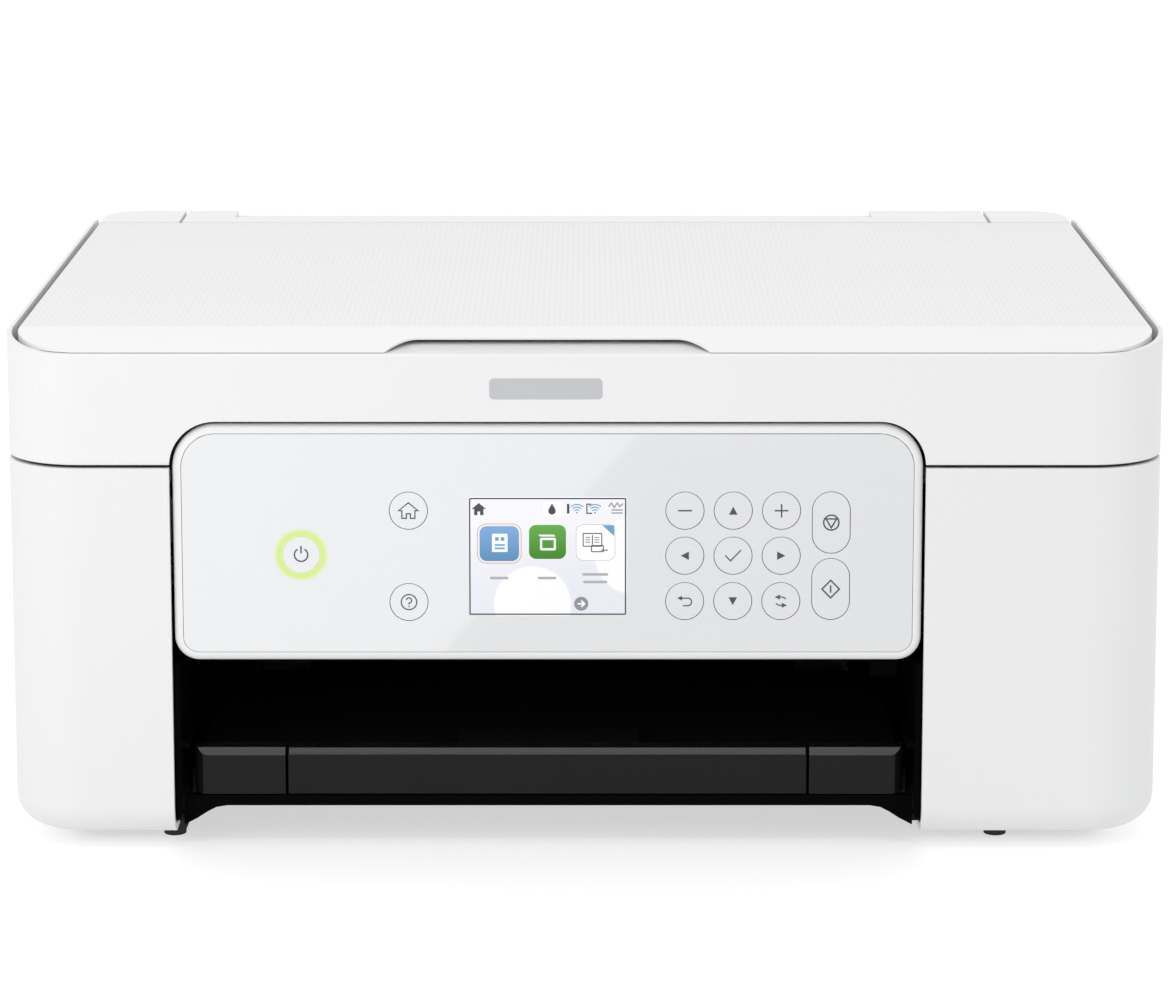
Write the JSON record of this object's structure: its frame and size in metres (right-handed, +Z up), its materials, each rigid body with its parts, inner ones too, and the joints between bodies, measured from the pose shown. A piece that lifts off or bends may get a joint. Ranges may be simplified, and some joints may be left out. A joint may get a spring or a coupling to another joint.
{
  "type": "inkjet all-in-one printer",
  "caption": "Compact white inkjet printer with a flatbed scanner under a lifting lid, a tilting control panel with screen and keys, and a paper cassette with output tray.",
  "frame": {"origin": "middle of the bounding box, on the surface that the feet stand on", "axes": "+X to the printer's right as seen from the front, +Y towards the back, +Z up"},
  "size_m": [0.375, 0.3, 0.17],
  "materials": {
    "white_casing": "fine satin moulded white",
    "white_gloss": "glossy white front plate and keys",
    "black_plastic": "fine matte moulded black",
    "tray_black": "satin black",
    "grey_plastic": "matte grey",
    "foam": "white faced foam mat",
    "steel": "zinc plated sheet and ground shafts",
    "rubber": "matte black rubber",
    "circuit_board": "green solder mask",
    "glass": "clear float glass",
    "screen": "lit colour display behind clear plastic",
    "felt": "absorbent felt",
    "ink_black": "black cartridge body",
    "ink_cyan": "black body with a cyan label",
    "ink_magenta": "black body with a magenta label",
    "ink_yellow": "black body with a yellow label"
  },
  "bodies": {
    "base": {"lower_casing": "white_casing", "base_pan": "black_plastic", "opening_liner": "black_plastic", "foot_front_left": "rubber", "foot_front_right": "rubber", "foot_rear_left": "rubber", "foot_rear_right": "rubber", "power_supply": "black_plastic", "power_inlet": "black_plastic", "main_board": "circuit_board", "usb_port": "steel", "waste_ink_pad": "felt", "chassis_frame": "steel", "platen": "black_plastic", "capping_station": "grey_plastic", "carriage_motor": "steel", "feed_motor": "steel", "timing_belt": "rubber"},
    "scanner_unit": {"scanner_frame": "white_casing", "scanner_base": "grey_plastic", "platen_glass": "glass", "scan_rail": "steel"},
    "scan_carriage": {"scan_head": "black_plastic"},
    "lid": {"lid_cover": "white_casing", "lid_pad": "foam"},
    "control_panel": {"panel_housing": "white_casing", "panel_plate": "white_gloss", "panel_board": "circuit_board", "lcd_screen": "screen"},
    "paper_cassette": {"paper_cassette": "black_plastic"},
    "edge_guide_left": {"edge_guide_left": "grey_plastic"},
    "edge_guide_right": {"edge_guide_right": "grey_plastic"},
    "output_tray": {"output_tray": "tray_black"},
    "tray_extension": {"tray_extension": "tray_black"},
    "paper_stopper": {"paper_stopper": "tray_black"},
    "rear_cover": {"rear_cover": "white_casing"},
    "feed_roller": {"feed_roller": "steel"},
    "eject_roller": {"eject_roller": "rubber"},
    "pickup_roller": {"pickup_roller": "rubber"},
    "drive_pulley": {"drive_pulley": "grey_plastic"},
    "idler_pulley": {"idler_pulley": "grey_plastic"},
    "print_carriage": {"print_carriage": "black_plastic", "cartridge_black": "ink_black", "cartridge_cyan": "ink_cyan", "cartridge_magenta": "ink_magenta", "cartridge_yellow": "ink_yellow"},
    "button_power": {"button_power": "white_gloss"},
    "button_home": {"button_home": "white_gloss"},
    "button_help": {"button_help": "white_gloss"},
    "button_minus": {"button_minus": "white_gloss"},
    "button_up": {"button_up": "white_gloss"},
    "button_plus": {"button_plus": "white_gloss"},
    "button_left": {"button_left": "white_gloss"},
    "button_ok": {"button_ok": "white_gloss"},
    "button_right": {"button_right": "white_gloss"},
    "button_back": {"button_back": "white_gloss"},
    "button_down": {"button_down": "white_gloss"},
    "button_swap": {"button_swap": "white_gloss"},
    "button_stop": {"button_stop": "white_gloss"},
    "button_start": {"button_start": "white_gloss"}
  },
  "joints": [
    {"name": "scanner_hinge", "type": "hinge", "parent": "base", "child": "scanner_unit", "pos_m": [0, 0.136, 0.1295], "axis": [-1, 0, 0], "range_deg": [0, 30]},
    {"name": "lid_hinge", "type": "hinge", "parent": "scanner_unit", "child": "lid", "pos_m": [0, 0.131, 0.158], "axis": [-1, 0, 0], "range_deg": [0, 85]},
    {"name": "scan_travel", "type": "slide", "parent": "scanner_unit", "child": "scan_carriage", "axis": [1, 0, 0], "range_m": [0, 0.3]},
    {"name": "panel_hinge", "type": "hinge", "parent": "base", "child": "control_panel", "pos_m": [-0.012, -0.147, 0.1389], "axis": [-1, 0, 0], "range_deg": [0, 45]},
    {"name": "cassette_slide", "type": "slide", "parent": "base", "child": "paper_cassette", "axis": [0, -1, 0], "range_m": [0, 0.2]},
    {"name": "guide_left_slide", "type": "slide", "parent": "paper_cassette", "child": "edge_guide_left", "axis": [1, 0, 0], "range_m": [0, 0.052]},
    {"name": "guide_right_slide", "type": "slide", "parent": "paper_cassette", "child": "edge_guide_right", "axis": [-1, 0, 0], "range_m": [0, 0.052]},
    {"name": "output_tray_slide", "type": "slide", "parent": "paper_cassette", "child": "output_tray", "axis": [0, -1, 0], "range_m": [0, 0.1]},
    {"name": "extension_slide", "type": "slide", "parent": "output_tray", "child": "tray_extension", "axis": [0, -1, 0], "range_m": [0, 0.085]},
    {"name": "stopper_hinge", "type": "hinge", "parent": "tray_extension", "child": "paper_stopper", "pos_m": [-0.012, -0.1323, 0.0292], "axis": [1, 0, 0], "range_deg": [0, 90]},
    {"name": "rear_cover_hinge", "type": "hinge", "parent": "base", "child": "rear_cover", "pos_m": [-0.012, 0.146, 0.049], "axis": [-1, 0, 0], "range_deg": [0, 80]},
    {"name": "carriage_travel", "type": "slide", "parent": "base", "child": "print_carriage", "axis": [-1, 0, 0], "range_m": [0, 0.256]},
    {"name": "drive_pulley_spin", "type": "hinge", "parent": "base", "child": "drive_pulley", "pos_m": [0.145, 0.033, 0.085], "axis": [0, 1, 0], "continuous": true},
    {"name": "idler_pulley_spin", "type": "hinge", "parent": "base", "child": "idler_pulley", "pos_m": [-0.145, 0.033, 0.085], "axis": [0, 1, 0], "continuous": true},
    {"name": "feed_roller_spin", "type": "hinge", "parent": "base", "child": "feed_roller", "pos_m": [0, 0.03, 0.048], "axis": [1, 0, 0], "continuous": true},
    {"name": "eject_roller_spin", "type": "hinge", "parent": "base", "child": "eject_roller", "pos_m": [0, -0.048, 0.046], "axis": [1, 0, 0], "continuous": true},
    {"name": "pickup_roller_spin", "type": "hinge", "parent": "base", "child": "pickup_roller", "pos_m": [0, 0.07, 0.037], "axis": [1, 0, 0], "continuous": true},
    {"name": "button_power_press", "type": "slide", "parent": "control_panel", "child": "button_power", "axis": [0, 1, 0], "range_m": [0, 0.0006], "stiffness_N_per_m": 400, "springref_m": -0.001},
    {"name": "button_home_press", "type": "slide", "parent": "control_panel", "child": "button_home", "axis": [0, 1, 0], "range_m": [0, 0.0006], "stiffness_N_per_m": 400, "springref_m": -0.001},
    {"name": "button_help_press", "type": "slide", "parent": "control_panel", "child": "button_help", "axis": [0, 1, 0], "range_m": [0, 0.0006], "stiffness_N_per_m": 400, "springref_m": -0.001},
    {"name": "button_minus_press", "type": "slide", "parent": "control_panel", "child": "button_minus", "axis": [0, 1, 0], "range_m": [0, 0.0006], "stiffness_N_per_m": 400, "springref_m": -0.001},
    {"name": "button_up_press", "type": "slide", "parent": "control_panel", "child": "button_up", "axis": [0, 1, 0], "range_m": [0, 0.0006], "stiffness_N_per_m": 400, "springref_m": -0.001},
    {"name": "button_plus_press", "type": "slide", "parent": "control_panel", "child": "button_plus", "axis": [0, 1, 0], "range_m": [0, 0.0006], "stiffness_N_per_m": 400, "springref_m": -0.001},
    {"name": "button_left_press", "type": "slide", "parent": "control_panel", "child": "button_left", "axis": [0, 1, 0], "range_m": [0, 0.0006], "stiffness_N_per_m": 400, "springref_m": -0.001},
    {"name": "button_ok_press", "type": "slide", "parent": "control_panel", "child": "button_ok", "axis": [0, 1, 0], "range_m": [0, 0.0006], "stiffness_N_per_m": 400, "springref_m": -0.001},
    {"name": "button_right_press", "type": "slide", "parent": "control_panel", "child": "button_right", "axis": [0, 1, 0], "range_m": [0, 0.0006], "stiffness_N_per_m": 400, "springref_m": -0.001},
    {"name": "button_back_press", "type": "slide", "parent": "control_panel", "child": "button_back", "axis": [0, 1, 0], "range_m": [0, 0.0006], "stiffness_N_per_m": 400, "springref_m": -0.001},
    {"name": "button_down_press", "type": "slide", "parent": "control_panel", "child": "button_down", "axis": [0, 1, 0], "range_m": [0, 0.0006], "stiffness_N_per_m": 400, "springref_m": -0.001},
    {"name": "button_swap_press", "type": "slide", "parent": "control_panel", "child": "button_swap", "axis": [0, 1, 0], "range_m": [0, 0.0006], "stiffness_N_per_m": 400, "springref_m": -0.001},
    {"name": "button_stop_press", "type": "slide", "parent": "control_panel", "child": "button_stop", "axis": [0, 1, 0], "range_m": [0, 0.0006], "stiffness_N_per_m": 400, "springref_m": -0.001},
    {"name": "button_start_press", "type": "slide", "parent": "control_panel", "child": "button_start", "axis": [0, 1, 0], "range_m": [0, 0.0006], "stiffness_N_per_m": 400, "springref_m": -0.001}
  ],
  "couplings": [
    {"joint": "guide_right_slide", "follows": "guide_left_slide", "ratio": 1},
    {"joint": "drive_pulley_spin", "follows": "carriage_travel", "rad_per_m": 151.51},
    {"joint": "idler_pulley_spin", "follows": "carriage_travel", "rad_per_m": 151.51},
    {"joint": "eject_roller_spin", "follows": "feed_roller_spin", "ratio": 1.2},
    {"joint": "pickup_roller_spin", "follows": "feed_roller_spin", "ratio": 0.6}
  ]
}
